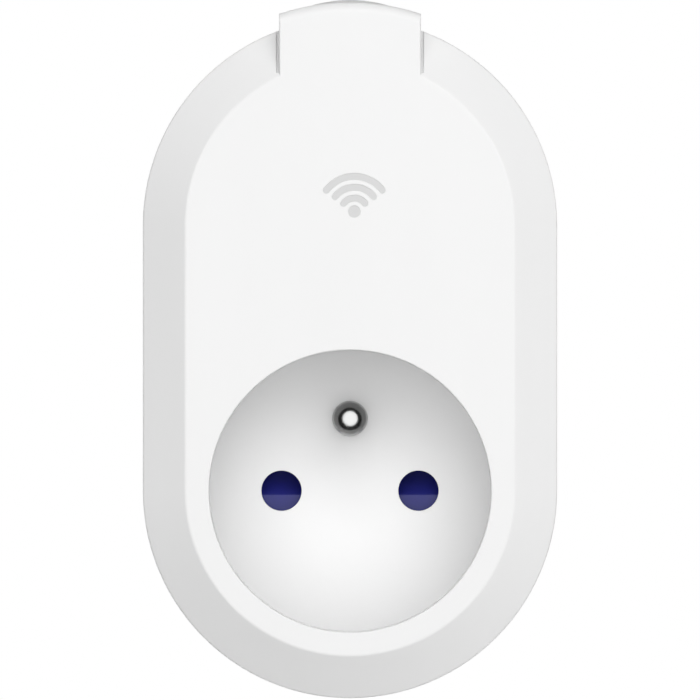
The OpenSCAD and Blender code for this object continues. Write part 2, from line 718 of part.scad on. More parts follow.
module plug_pin(x) color("silver")
    turned(concat([[0, pin_tail_d], [pin_tail_r, pin_tail_d], [pin_tail_r, boss_end_d - pin_flange_t],
        [pin_flange_r, boss_end_d - pin_flange_t], [pin_flange_r, boss_end_d]],
        shank(pin_r, boss_end_d, plug_face_d),
        pin_tip(pin_r, 1.5, plug_face_d + pin_len, -1), [[0, plug_face_d + pin_len]]), x);

module line_plug_pin() plug_pin(pin_x);

module neutral_plug_pin() plug_pin(-pin_x);

module pin_retainer() color("dimgray") {
    difference() {
        rod(retainer_r, retainer_d, retainer_d + retainer_t);
        for (side = [-1, 1]) rod(pin_tail_r + fit, retainer_d - e, retainer_d + retainer_t + e, side * pin_x);
        rod(sleeve_r + fit, retainer_d - e, retainer_d + retainer_t + e, 0, earth_rise);
        for (p = retainer_screw_xz) rod(small_hole_r, retainer_d - e, retainer_d + retainer_t + e, p.x, p.y);
    }
}

module retainer_screws() color("silver")
    for (p = retainer_screw_xz) translate([p.x, y(retainer_d - e), p.y]) mirror([0, 1, 0])
        screw(small_screw_r, small_head_r, small_head_h, retainer_t + 3, 1.1);

// ---------------------------------------------------------------- electronics

module main_board() color("seagreen") {
    difference() {
        prism(board_d, board_back_d) difference() {
            intersection() {
                outline_2d(board_r);
                translate([-board_r, board_low_z]) square([2 * board_r, board_top_z - board_low_z]);
            }
            circle(recess_out_r + 0.7);
            for (p = post_xz) translate(p) circle(post_r + 0.5);
        }
        for (p = board_screw_xz) rod(small_hole_r, board_d - 1, board_back_d + 1, p.x, p.y);
        for (p = relay_pin_xz)
            rod(relay_pin_r + 0.15, board_d - 1, board_back_d + 1, relay_x + p.x, relay_z + p.y);
    }
}

module board_screws() color("silver")
    for (p = board_screw_xz) translate([p.x, y(board_back_d + e), p.y])
        screw(small_screw_r, small_head_r, small_head_h, board_back_d - wall - 1, 1.1);

module relay_base() color("black")
    block([relay_x - relay_w / 2 + relay_wall + fit, relay_x + relay_w / 2 - relay_wall - fit],
        [relay_d, relay_d + relay_base_h],
        [relay_z - relay_l / 2 + relay_wall + fit, relay_z + relay_l / 2 - relay_wall - fit]);

module relay_case() color("steelblue") difference() {
    block([relay_x - relay_w / 2, relay_x + relay_w / 2], [relay_d, relay_d + relay_h],
        [relay_z - relay_l / 2, relay_z + relay_l / 2]);
    block([relay_x - relay_w / 2 + relay_wall, relay_x + relay_w / 2 - relay_wall],
        [relay_d - e, relay_d + relay_h - relay_wall],
        [relay_z - relay_l / 2 + relay_wall, relay_z + relay_l / 2 - relay_wall]);
}

// Core, foot and upright of the magnet
module relay_yoke() color("slategray") {
    foot_d = relay_d + relay_base_h + e;
    width = span(relay_x, -4.5, 4.5);
    rod(2, foot_d, relay_d + pivot_h - 1.1, relay_x, core_z);
    block(width, [foot_d, foot_d + 1.2], [pivot_z - 0.9, core_z + 2]);
    block(width, [foot_d, relay_d + pivot_h - 0.6], span(pivot_z, -0.9, 0.3));
}

module relay_coil() color("chocolate") difference() {
    low = relay_d + relay_base_h + 1.3;
    union() {
        rod(4.6, low, relay_d + pivot_h - 1.5, relay_x, core_z);
        for (d = [low, relay_d + pivot_h - 2.2]) rod(5.4, d, d + 0.7, relay_x, core_z);
    }
    rod(2 + slip, low - 1, relay_d + pivot_h, relay_x, core_z);
}

// Armature with the moving contact on its free end
module relay_armature() color("slategray") {
    d = relay_d + pivot_h;
    block(span(relay_x, -4, 4), [d - 0.35, d + 0.45], [pivot_z - 0.8, core_z + 3.2]);
    block(span(relay_x, -1.8, 1.8), [d + 0.45 - e, d + 0.75], [pivot_z + 2, relay_z + 7.6]);
    rod(1.3, d - 0.2, d + 0.46, relay_x, relay_z + 6.4);
}

module relay_fixed_contact() color("goldenrod") {
    d = relay_d + pivot_h - 1.4;
    width = span(relay_x, -1.8, 1.8);
    rod(1.3, d - 0.6, d + 0.15, relay_x, relay_z + 6.4);
    block(width, [d - 1.1, d - 0.6 + e], span(relay_z, 5, 7.8));
    block(width, [relay_d + relay_base_h + e, d - 0.6], span(relay_z, 7.3, 7.8));
}

module relay_terminals() color("silver")
    for (p = relay_pin_xz) rod(relay_pin_r, board_d - 1.2, relay_d - e, relay_x + p.x, relay_z + p.y);

// Electrolytic can on the board, with a groove near its foot
module can(x, z, r, h) {
    d = board_back_d + 0.1;
    turned([[0, d], [r - 0.4, d], [r, d + 0.4], [r, d + 1.2], [r - 0.4, d + 1.6], [r, d + 2],
        [r, d + h - 0.5], [r - 0.5, d + h], [0, d + h]], x, z);
}

module bulk_capacitors() color("darkslategray")
    for (i = [0, 1]) can(bulk_cap_xz[i].x, bulk_cap_xz[i].y, bulk_cap_r[i], bulk_cap_h[i]);

module output_capacitor() color("darkslategray") can(output_cap_xz.x, output_cap_xz.y, 3.15, 8);

module filter_capacitor() color("gold")
    block([3, 16], span(board_back_d, 0.1, 11.5), span(recess_out_r, 5.7, 11.3));

module varistor() color("royalblue")
    translate([18.6, y(board_back_d + 7.2), recess_out_r + 13.8]) rotate([0, 90, 0]) cylinder(r = 5, h = 4.2);

module filter_inductor() color("darkolivegreen") {
    d = board_back_d + 0.1;
    turned([for (p = [[0, 0], [3.5, 0], [3.5, 1.2], [2.9, 1.2], [2.9, 7.8], [3.5, 7.8], [3.5, 9], [0, 9]])
        p + [0, d]], 10.5, recess_out_r + 17.2);
}

module fuse_resistor() color("lightslategray")
    translate([1.6, y(board_back_d + 2), recess_out_r + 13]) cylinder(r = 1.7, h = 9);

module bridge_rectifier() color("black")
    block([15.8, 20.4], span(board_back_d, 0.1, 2.6), span(recess_out_r, 2.6, 5.4));

module converter_chip() color("black")
    block([-1.2, 3.8], span(board_back_d, 0.1, 1.7), span(board_top_z, -14.4, -10.5));

module shunt_resistor() color("black")
    block([-22.6, -16.2], span(board_back_d, 0.05, 0.85), span(recess_out_r, -0.6, 2.6));

module wireless_board() color("navy")
    block([-7.4, 7.4], span(board_d, -0.82, -e), span(board_top_z, -13.4, 0));

module wireless_shield() color("silver")
    block([-6.4, 6.4], span(board_d, -3.1, -0.85), span(board_top_z, -12.9, -4.4));

module status_led() color("ivory")
    block(span(icon_x, -1.6, 1.6), span(board_d, -1.1, -e), span(icon_z, 1.4, 4.2));

module tact_switch_body() color("dimgray") difference() {
    half = switch_w / 2;
    block([-half, half], span(button_d, -half, half), span(board_top_z, -switch_h, 0));
    translate([0, y(button_d), board_top_z - plunger_in - button_travel - 0.3])
        cylinder(r = plunger_r + slip, h = switch_h);
}

module tact_switch_bracket() color("silver") for (side = [-1, 1])
    block(span(side * (switch_w / 2 + 0.25), -0.22, 0.22), [board_back_d + e, button_d + 2],
        span(board_top_z, -switch_h, -0.4));

module tact_switch_plunger() color("black")
    translate([0, y(button_d), board_top_z - plunger_in])
        cylinder(r = plunger_r, h = plunger_in + plunger_up);

// ---------------------------------------------------------------- leads

// Corner points of each route are [x, depth, z]
module lead(corners) tube([for (p = route(corners)) [p.x, y(p.y), p.z]], lead_r);

// Two layers for the leads in front of the earth bracket, so that they can cross
near_d = bracket_d - lead_r - 0.4;
far_d = near_d - 2 * lead_r - 0.4;

// From the line pin, through the earth bracket and round the outlet, to the board
module line_in_lead() color("saddlebrown") {
    hole = lead_hole_xz[0];
    pad = line_in_pad;
    beside = pin_tail_r + lead_r + e;
    lead([[pin_x, retainer_d - 1.6, -beside], [pin_x, leads_d + 2.4, -beside],
        [hole.x, leads_d - 0.4, hole.y + 0.2], [hole.x, bracket_d + 0.4, hole.y],
        [hole.x + 1, far_d + 0.3, hole.y - 1], [18.5, far_d + 0.3, -6], [20.5, far_d + 0.3, 6],
        [18.5, far_d - 0.7, pad.y - 5], [pad.x, far_d - 4, pad.y], [pad.x, board_back_d + e, pad.y]]);
}

// From the relay's side of the board to the line contact of the outlet
module line_out_lead() color("black") {
    hole = lead_hole_xz[1];
    pad = line_out_pad;
    beside = pin_x + tail_x + contact_t + lead_r + e;
    lead([[beside, leads_d + lead_r + 0.1, -1.2], [beside, leads_d + lead_r + 0.3, 4],
        [hole.x + 0.6, leads_d + 1, hole.y - 0.4], [hole.x, bracket_d + 2.4, hole.y],
        [hole.x, bracket_d - 1.4, hole.y], [hole.x - 2, far_d, hole.y + 4.5],
        [3, far_d, pad.y - 5.5], [pad.x + 4, far_d, pad.y - 0.5], [pad.x, far_d - 3.6, pad.y],
        [pad.x, board_back_d + e, pad.y]]);
}

// From the neutral contact to the board
module neutral_lead() color("mediumblue") {
    hole = lead_hole_xz[2];
    pad = neutral_pad;
    beside = -(pin_x + tail_x + contact_t + lead_r + e);
    lead([[beside, leads_d + lead_r + 1.6, -1.2], [beside, leads_d + lead_r + 1.6, 4],
        [hole.x - 0.6, leads_d + 1, hole.y - 0.4], [hole.x, bracket_d + 2.4, hole.y],
        [hole.x, bracket_d - 1.2, hole.y], [hole.x + 1.5, near_d, hole.y + 4],
        [0, near_d, pad.y - 6], [pad.x - 1, near_d - 0.6, pad.y - 2.5], [pad.x, far_d - 3.6, pad.y],
        [pad.x, board_back_d + e, pad.y]]);
}

front_shell();
rear_shell();
plug_boss();
housing_screws();
icon_light_guide();
power_button();
shutter();
shutter_spring();
contact_block();
contact_cover();
contact_block_screws();
line_outlet_contact();
neutral_outlet_contact();
outlet_earth_pin();
earth_bracket();
plug_earth_sleeve();
line_plug_pin();
neutral_plug_pin();
pin_retainer();
retainer_screws();
main_board();
board_screws();
relay_base();
relay_case();
relay_yoke();
relay_coil();
relay_armature();
relay_fixed_contact();
relay_terminals();
bulk_capacitors();
filter_capacitor();
varistor();
filter_inductor();
fuse_resistor();
bridge_rectifier();
converter_chip();
output_capacitor();
shunt_resistor();
wireless_board();
wireless_shield();
status_led();
tact_switch_body();
tact_switch_bracket();
tact_switch_plunger();
line_in_lead();
line_out_lead();
neutral_lead();
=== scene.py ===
import json
import math

import bmesh
import bpy
from mathutils import Matrix, Vector


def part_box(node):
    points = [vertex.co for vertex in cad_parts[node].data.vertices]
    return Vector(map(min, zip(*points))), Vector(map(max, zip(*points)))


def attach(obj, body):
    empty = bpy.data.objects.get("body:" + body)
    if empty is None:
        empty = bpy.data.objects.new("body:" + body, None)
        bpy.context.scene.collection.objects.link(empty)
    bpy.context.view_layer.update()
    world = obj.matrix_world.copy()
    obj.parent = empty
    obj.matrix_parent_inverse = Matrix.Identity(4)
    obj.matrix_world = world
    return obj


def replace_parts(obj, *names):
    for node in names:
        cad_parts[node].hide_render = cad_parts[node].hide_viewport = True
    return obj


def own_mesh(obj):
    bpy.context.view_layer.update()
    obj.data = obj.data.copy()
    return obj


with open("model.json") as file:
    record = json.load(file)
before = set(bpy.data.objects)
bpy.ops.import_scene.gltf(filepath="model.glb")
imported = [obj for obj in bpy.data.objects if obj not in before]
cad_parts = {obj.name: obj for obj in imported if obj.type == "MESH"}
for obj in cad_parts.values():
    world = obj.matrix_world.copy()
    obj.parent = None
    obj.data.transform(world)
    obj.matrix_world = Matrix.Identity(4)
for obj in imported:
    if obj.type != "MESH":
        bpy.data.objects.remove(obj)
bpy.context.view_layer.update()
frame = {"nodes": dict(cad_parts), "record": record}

MM = 0.001
MICRON = 1e-6
scene = bpy.context.scene
nodes = frame["nodes"]
front_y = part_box("front_shell")[0].y
back_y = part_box("rear_shell")[1].y

# The record's colour of each slot. The four that are seen most are set finer here.
colours = {m["slot"]: m["base_color"] for m in frame["record"]["materials"]}
colours.update(
    white_shell=[0.93, 0.93, 0.93],
    white_button=[0.93, 0.93, 0.93],
    shutter_blue=[0.017, 0.02, 0.19],
    nickel_plate=[0.71, 0.715, 0.71],
)

# ---------------------------------------------------------------- camera and lights

CAMERA_AWAY = 4.0          # metres from the front face
VIEW_WIDTH = 0.09673       # metres of the front plane across the picture
VIEW_Z = 0.01952           # height of the picture's middle, in metres
SENSOR = 36.0              # width of the camera's sensor, in mm
FAR_LIMIT = 10             # the camera sees this far, in metres

camera_data = bpy.data.cameras.new("camera")
camera_data.sensor_width = SENSOR
camera_data.lens = SENSOR * CAMERA_AWAY / VIEW_WIDTH
camera_data.clip_end = FAR_LIMIT
camera = bpy.data.objects.new("camera", camera_data)
camera.location = (0, front_y - CAMERA_AWAY, VIEW_Z)
camera.rotation_euler = (math.radians(90), 0, 0)
scene.collection.objects.link(camera)
scene.camera = camera
scene.view_settings.view_transform = "Standard"


def softbox(name, place, target, width, radiance, reflected):
    """A round soft light of the given width that faces target. reflected is whether gloss shows it."""
    data = bpy.data.lights.new(name, "AREA")
    data.shape = "DISK"
    data.size = width
    data.energy = radiance * math.pi * math.pi * (width / 2) ** 2
    light = bpy.data.objects.new(name, data)
    light.location = place
    light.rotation_euler = (Vector(target) - Vector(place)).to_track_quat("-Z", "Y").to_euler()
    light.visible_camera = False
    light.visible_glossy = reflected
    scene.collection.objects.link(light)


middle = Vector((0, front_y, VIEW_Z))
front_at = middle + Vector((0.03, -0.6, 0.05))
softbox("front_softbox", front_at, front_at + Vector((0, 1, 0)), 1.32, 1.72, True)
# Each light's place from the middle of the front face, its width in metres and its radiance.
# Gloss shows only the front softbox and the four small rear lights.
for name, offset, width, radiance, reflected in (
        ("upper_fill", (0.17, -0.7, 0.67), 0.93, 1.46, False),
        ("right_fill", (0.8, 0.12, -0.14), 0.92, 1.34, False),
        ("left_fill", (-0.8, 0.12, 0.35), 0.92, 0.73, False),
        ("top_fill", (0, 0.08, 0.9), 1.04, 0.54, False),
        ("rear_softbox", (-0.2, 1.0, 0.28), 1.3, 1.9, False),
        ("rear_low", (0, 1.0, -0.26), 0.7, 0.9, True),
        ("rear_top", (0, 0.5, 0.9), 0.6, 1.5, True),
        ("rear_strip_left", (-0.9, 0.75, 0.1), 0.6, 1.6, True),
        ("rear_strip_right", (0.95, 0.6, 0.15), 0.5, 1.3, True)):
    softbox(name, middle + Vector(offset), middle, width, radiance, reflected)

# The backdrop is white to the camera, and nearly black as a light and in reflections
BACKDROP_SEEN, BACKDROP_LIGHT, BACKDROP_REFLECTED = 1.0, 0.015, 0.02

world = bpy.data.worlds.new("studio")
world.use_nodes = True
scene.world = world
world_tree = world.node_tree
world_tree.nodes.clear()
ray = world_tree.nodes.new("ShaderNodeLightPath")
unseen = world_tree.nodes.new("ShaderNodeMix")
unseen.inputs[2].default_value = BACKDROP_LIGHT
unseen.inputs[3].default_value = BACKDROP_REFLECTED
strength = world_tree.nodes.new("ShaderNodeMix")
strength.inputs[3].default_value = BACKDROP_SEEN
backdrop = world_tree.nodes.new("ShaderNodeBackground")
backdrop.inputs["Color"].default_value = (1, 1, 1, 1)
world_out = world_tree.nodes.new("ShaderNodeOutputWorld")
for leaves, enters in (
        (ray.outputs["Is Glossy Ray"], unseen.inputs[0]),
        (ray.outputs["Is Camera Ray"], strength.inputs[0]),
        (unseen.outputs[0], strength.inputs[2]),
        (strength.outputs[0], backdrop.inputs["Strength"]),
        (backdrop.outputs[0], world_out.inputs["Surface"])):
    world_tree.links.new(leaves, enters)

# ---------------------------------------------------------------- materials


class Finish:
    """The node graph of one material, with small helpers to add to it."""

    def __init__(self, name):
        self.material = bpy.data.materials.new(name)
        self.material.use_nodes = True
        self.tree = self.material.node_tree
        self.tree.nodes.clear()
        self.shader = self.add("ShaderNodeBsdfPrincipled")
        self.add("ShaderNodeOutputMaterial", Surface=self.shader.outputs["BSDF"])
        self.place = self.add("ShaderNodeTexCoord").outputs["Object"]

    def add(self, kind, props=(), **inputs):
        """Adds a node, with its properties and with values or links for its inputs."""
        made = self.tree.nodes.new(kind)
        for key, value in dict(props).items():
            setattr(made, key, value)
        for key, value in inputs.items():
            self.put(made.inputs[key.replace("_", " ")], value)
        return made

    def put(self, socket, value):
        if isinstance(value, bpy.types.NodeSocket):
            self.tree.links.new(value, socket)
        else:
            socket.default_value = value

    def maths(self, operation, a, b=0.0, c=0.0):
        made = self.add("ShaderNodeMath", {"operation": operation})
        for socket, value in zip(made.inputs, (a, b, c)):
            self.put(socket, value)
        return made.outputs[0]

    def noise(self, size, detail=3.0, rough=0.55, stretch=None):
        """Soft noise whose grains are size metres across, drawn out along an axis by a small stretch."""
        place = self.place
        if stretch:
            place = self.add("ShaderNodeMapping", Vector=place, Scale=stretch).outputs[0]
        return self.add("ShaderNodeTexNoise", Vector=place, Scale=1 / size, Detail=detail,
                        Roughness=rough).outputs[0]

    def spread(self, value, low, high, start=0.3, end=0.7):
        """Maps value, from start to end, onto low to high."""
        made = self.add("ShaderNodeMapRange", Value=value)
        for socket, v in zip(list(made.inputs)[1:5], (start, end, low, high)):
            socket.default_value = v
        return made.outputs[0]

    def mix(self, amount, a, b):
        made = self.add("ShaderNodeMix", {"data_type": "RGBA"})
        self.put(made.inputs[0], amount)
        self.put(made.inputs[6], a)
        self.put(made.inputs[7], b)
        return made.outputs[2]

    def edges(self, radius):
        """1 on convex and concave edges, 0 on flat faces, and the softened normal."""
        soft = self.add("ShaderNodeBevel", {"samples": 4}, Radius=radius).outputs[0]
        hard = self.add("ShaderNodeNewGeometry").outputs["Normal"]
        made = self.add("ShaderNodeVectorMath", {"operation": "DOT_PRODUCT"})
        self.put(made.inputs[0], soft)
        self.put(made.inputs[1], hard)
        return self.spread(made.outputs["Value"], 1, 0, 0.75, 0.995), soft

    def bump(self, height, depth, normal=None):
        made = self.add("ShaderNodeBump", Height=height, Distance=depth, Strength=1.0)
        if normal:
            self.put(made.inputs["Normal"], normal)
        return made.outputs[0]

    def close(self, colour, roughness, normal, metallic=0.0, ior=1.47, **more):
        """Wires the graph to the shader. more holds constants for its other sockets."""
        self.put(self.shader.inputs["Base Color"], colour)
        self.put(self.shader.inputs["Roughness"], roughness)
        self.put(self.shader.inputs["Normal"], normal)
        self.shader.inputs["Metallic"].default_value = metallic
        self.shader.inputs["IOR"].default_value = ior
        for key, value in more.items():
            self.shader.inputs[key.replace("_", " ")].default_value = value
        return self.material


def shade(slot, by):
    """A slot's colour made lighter or darker."""
    return [min(c * by, 1) for c in colours[slot]] + [1]


def plastic(slot, rough, grain=0.25, depth=2.0, vary=0.012, wear_and_sheen=0.0, edge=0.25, tone=1.0, **more):
    """Moulded plastic: spark-eroded mould grain, faint flow marks, and edges that are handled smoother and
    painted lighter, a painted sheen.
    grain and edge are in mm, depth in micrometres."""
    f = Finish(slot + "_finish")
    flow = f.noise(9 * MM, 4, stretch=(1, 1, 0.35))
    fine = f.noise(grain * MM, 2)
    colour = f.mix(f.spread(flow, 0, 1), shade(slot, tone * (1 - vary)), shade(slot, tone * (1 + vary)))
    roughness = f.spread(f.noise(1.6 * MM, 5), rough - 0.05, rough + 0.05)
    normal = None
    if wear_and_sheen:
        mask, normal = f.edges(edge * MM)
        # Edges: the colour is painted lighter, a painted sheen, and the roughness is lowered, rubbed wear
        rubbed_and_sheen = f.maths("MULTIPLY", mask, f.spread(f.noise(0.9 * MM, 4), 0.2, 1))
        colour = f.mix(f.maths("MULTIPLY", rubbed_and_sheen, wear_and_sheen), colour, shade(slot, tone * 1.2))
        roughness = f.maths("SUBTRACT", roughness, f.maths("MULTIPLY", rubbed_and_sheen, 0.08))
    return f.close(colour, roughness, f.bump(fine, depth * MICRON, normal), **more)


def metal(slot, rough, along=None, depth=0.6, vary=0.05, tone=1.0, edge=0.15, tarnish=0.0,
          painted_shade_axis=None, **more):
    """Sheet or turned metal: fine working marks drawn out along an axis, patchy sheen, and edges painted
    lighter, a painted highlight.
    edge is in mm, depth in micrometres. The argument after tarnish is the (x, z) of a pin's axis, in
    metres: past a small radius round it the tip's colour is painted darker, a painted shade that leaves
    its middle bright."""
    f = Finish(slot + ("_painted_shade_tip" if painted_shade_axis else "_finish"))
    patches = f.noise(2.5 * MM, 5)
    marks = f.noise(0.12 * MM, 3, 0.7, stretch=along or (1, 1, 1))
    mask, soft = f.edges(edge * MM)
    colour = f.mix(f.spread(patches, 0, 1), shade(slot, tone * (1 - vary)), shade(slot, tone * (1 + vary)))
    if tarnish:
        spots = f.spread(f.noise(0.7 * MM, 6, 0.7), 0, tarnish, 0.56, 0.72)
        colour = f.mix(spots, colour, shade(slot, tone * 0.55))
    # Painted highlight: edges are painted lighter
    colour = f.mix(f.maths("MULTIPLY", mask, 0.5), colour, shade(slot, tone * 1.15))
    # Painted shade: past a small radius round the pin's axis, the colour is painted darker
    if painted_shade_axis:
        across = f.add("ShaderNodeVectorMath", {"operation": "MULTIPLY_ADD"})
        for socket, value in zip(across.inputs, (f.place, (1, 0, 1), (-painted_shade_axis[0], 0, -painted_shade_axis[1]))):
            f.put(socket, value)
        radius = f.add("ShaderNodeVectorMath", {"operation": "LENGTH"})
        f.put(radius.inputs[0], across.outputs[0])
        painted_shade_mask = f.spread(radius.outputs["Value"], 0, 1, UNSHADED_R, UNSHADED_R + SHADE_FADE)
        colour = f.mix(painted_shade_mask, colour, shade(slot, tone * PAINTED_SHADE_TONE))
    roughness = f.maths("ADD", f.spread(patches, rough - 0.04, rough + 0.05),
                        f.spread(marks, -0.03, 0.03))
    return f.close(colour, roughness, f.bump(marks, depth * MICRON, soft), metallic=1.0, **more)


def banded(slot, rough, pitch, axis, depth=30.0, metallic=0.0, vary=0.12, **more):
    """Wound wire, ribbed sleeve or insulated lead: even bands, pitch mm apart, that follow each other
    along axis. depth is in micrometres."""
    f = Finish(slot + "_finish")
    bands = f.add("ShaderNodeTexWave", {"bands_direction": axis, "wave_profile": "SIN"},
                  Vector=f.place, Scale=math.pi / (10 * pitch * MM), Distortion=0.35, Detail=2.0,
                  Detail_Scale=1.5).outputs[1]
    patches = f.noise(1.8 * MM, 4)
    colour = f.mix(f.spread(bands, 0, 1, 0, 1), shade(slot, 1 - 2 * vary), shade(slot, 1 + vary))
    colour = f.mix(f.spread(patches, 0, 0.35), colour, shade(slot, 0.8))
    return f.close(colour, f.spread(patches, rough - 0.05, rough + 0.08),
                   f.bump(bands, depth * MICRON), metallic=metallic, **more)


def laminate(slot, rough, track=1.1):
    """Circuit board: solder mask over copper tracks, track mm apart, and the weave of the glass cloth."""
    f = Finish(slot + "_finish")
    tracks = f.add("ShaderNodeTexBrick", {"offset": 0.37, "squash": 0.6}, Vector=f.add(
        "ShaderNodeMapping", Vector=f.place, Rotation=(math.radians(90), 0, 0)).outputs[0],
        Scale=1 / (track * MM), Mortar_Size=0.16, Mortar_Smooth=0.3, Brick_Width=2.6, Row_Height=0.9)
    mask = tracks.outputs["Fac"]
    weave = f.noise(0.35 * MM, 2, stretch=(1, 1, 3))
    base = f.mix(f.spread(weave, 0, 1), shade(slot, 0.85), shade(slot, 1.15))
    colour = f.mix(f.maths("MULTIPLY", mask, 0.55), base, shade(slot, 1.7))
    height = f.maths("ADD", f.maths("MULTIPLY", mask, 0.8), f.maths("MULTIPLY", weave, 0.2))
    return f.close(colour, f.spread(f.noise(2 * MM, 3), rough - 0.06, rough + 0.06),
                   f.bump(height, 25 * MICRON), Coat_Weight=0.3, Coat_Roughness=0.15)


# Painted shade on a pin's tip: the tip keeps its colour within the first radius of its axis, and past the
# fade its colour is painted as bright as the given share
UNSHADED_R, SHADE_FADE, PAINTED_SHADE_TONE = 1.05 * MM, 0.2 * MM, 0.6
WHITE_TONE = 0.81
# Working marks run along the axis that is stretched
BRUSHED_X, BRUSHED_Y, BRUSHED_Z = (0.08, 1, 1), (1, 0.08, 1), (1, 1, 0.08)
finishes = {
    "white_shell": plastic("white_shell", 0.42, grain=0.22, depth=1.6, vary=0.006, wear_and_sheen=0.25, edge=0.2,
                           tone=WHITE_TONE, Specular_IOR_Level=0.45),
    "white_button": plastic("white_button", 0.36, grain=0.3, depth=1.2, vary=0.006, wear_and_sheen=0.25,
                            tone=WHITE_TONE),
    "light_guide": plastic("light_guide", 0.5, grain=0.18, depth=2.5, vary=0.02, tone=WHITE_TONE),
    "shutter_blue": plastic("shutter_blue", 0.22, grain=0.3, depth=1.0, vary=0.06, wear_and_sheen=0.25,
                            tone=0.94, ior=1.41),
    "insulator": plastic("insulator", 0.5, wear_and_sheen=0.3),
    "black_plastic": plastic("black_plastic", 0.4, vary=0.15, wear_and_sheen=0.5),
    "relay_blue": plastic("relay_blue", 0.3, vary=0.06, wear_and_sheen=0.4),
    "film_yellow": plastic("film_yellow", 0.28, grain=0.6, depth=4, vary=0.05),
    "disc_blue": plastic("disc_blue", 0.25, grain=0.5, depth=14, vary=0.08),
    "led_body": plastic("led_body", 0.25, vary=0.03),
    "nickel_plate": metal("nickel_plate", 0.22, tone=0.85, depth=0.25, along=BRUSHED_Y, vary=0.03),
    "contact_brass": metal("contact_brass", 0.27, along=BRUSHED_Z, tarnish=0.5),
    "clip_steel": metal("clip_steel", 0.26, along=BRUSHED_Y, tarnish=0.1),
    "screw_steel": metal("screw_steel", 0.32, vary=0.08, tarnish=0.3),
    "spring_steel": metal("spring_steel", 0.25, along=BRUSHED_Z),
    "magnet_steel": metal("magnet_steel", 0.36, along=BRUSHED_Z, tarnish=0.4),
    "tinned_copper": metal("tinned_copper", 0.3, vary=0.1, tarnish=0.3),
    "shield_tin": metal("shield_tin", 0.3, along=BRUSHED_X, tarnish=0.3),
    "coil_copper": banded("coil_copper", 0.3, 0.12, "Y", metallic=0.9),
    "can_sleeve": plastic("can_sleeve", 0.22, grain=0.8, depth=5, vary=0.1),
    "fuse_sleeve": banded("fuse_sleeve", 0.5, 0.35, "Z"),
    "circuit_board": laminate("circuit_board", 0.32),
    "module_board": laminate("module_board", 0.3, track=0.7),
    "lead_brown": banded("lead_brown", 0.38, 2.4, "Y", depth=14, vary=0.06),
    "lead_black": banded("lead_black", 0.38, 2.4, "Y", depth=14, vary=0.06),
    "lead_blue": banded("lead_blue", 0.38, 2.4, "Y", depth=14, vary=0.06),
}


def paper(name):
    """Matt pale studio paper, faintly cloudy."""
    f = Finish(name)
    clouds = f.spread(f.noise(50 * MM), 0, 1)
    colour = f.mix(clouds, [0.8, 0.8, 0.79, 1], [0.84, 0.84, 0.83, 1])
    return f.close(colour, 0.8, f.bump(f.noise(4 * MM), 0.1 * MM))


# ---------------------------------------------------------------- mesh helpers


def finished(name, bm, material, smooth=True):
    """Links the mesh as an object with one material."""
    bmesh.ops.recalc_face_normals(bm, faces=bm.faces)
    mesh = bpy.data.meshes.new(name)
    bm.to_mesh(mesh)
    bm.free()
    mesh.materials.append(material)
    mesh.polygons.foreach_set("use_smooth", [smooth] * len(mesh.polygons))
    made = bpy.data.objects.new(name, mesh)
    scene.collection.objects.link(made)
    return made


def piece(name, bm, slot, smooth=True):
    """A finished mesh that belongs to the housing."""
    made = finished(name, bm, finishes[slot], smooth)
    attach(made, "housing")
    return made


SMOOTH_BELOW = math.radians(30)
JOIN_WITHIN = 1 * MICRON


def smooth_group():
    """Geometry nodes: joins a CAD mesh's split vertices and shades it smooth, but for sharper edges."""
    group = bpy.data.node_groups.new("smooth_cad", "GeometryNodeTree")
    group.interface.new_socket("Geometry", in_out="INPUT", socket_type="NodeSocketGeometry")
    group.interface.new_socket("Geometry", in_out="OUTPUT", socket_type="NodeSocketGeometry")
    new, link = group.nodes.new, group.links.new
    enter, leave = new("NodeGroupInput"), new("NodeGroupOutput")
    strip = new("GeometryNodeRemoveAttribute")
    strip.inputs["Name"].default_value = "custom_normal"
    merge = new("GeometryNodeMergeByDistance")
    merge.inputs["Distance"].default_value = JOIN_WITHIN
    angle = new("GeometryNodeInputMeshEdgeAngle")
    flat = new("FunctionNodeCompare")
    flat.operation = "LESS_THAN"
    flat.inputs[1].default_value = SMOOTH_BELOW
    faces, rims = new("GeometryNodeSetShadeSmooth"), new("GeometryNodeSetShadeSmooth")
    faces.domain, rims.domain = "FACE", "EDGE"
    link(enter.outputs[0], strip.inputs["Geometry"])
    link(strip.outputs[0], merge.inputs["Geometry"])
    link(merge.outputs[0], faces.inputs["Geometry"])
    link(faces.outputs[0], rims.inputs["Geometry"])
    link(angle.outputs["Unsigned Angle"], flat.inputs[0])
    link(flat.outputs[0], rims.inputs["Shade Smooth"])
    link(rims.outputs[0], leave.inputs[0])
    return group


smooth_cad = smooth_group()
for node in nodes.values():
    for held in node.material_slots:
        held.material = finishes[held.material.name.split(".")[0]]
    modifier = node.modifiers.new("smooth", "NODES")
    modifier.node_group = smooth_cad
    weigh = node.modifiers.new("weigh", "WEIGHTED_NORMAL")
    weigh.keep_sharp = True
    weigh.weight = 100

earth_x, _, earth_z = next(mount["pos_m"] for mount in frame["record"]["mounts"]
                           if mount["name"] == "outlet_earth_pin")
# The earth pin gets a copy of the nickel finish in a lower tone than the other nickel parts, with its tip
# painted darker past a small radius round its axis: both are painted shade
nodes["outlet_earth_pin"].material_slots[0].material = metal(
    "nickel_plate", 0.22, tone=0.72, depth=0.25, along=BRUSHED_Y, vary=0.03, painted_shade_axis=(earth_x, earth_z))

# ---------------------------------------------------------------- pieces that add detail


def polar(x, z, r, degrees):
    """The point at r from (x, z), degrees round from +X towards +Z."""
    return x + r * math.cos(math.radians(degrees)), z + r * math.sin(math.radians(degrees))


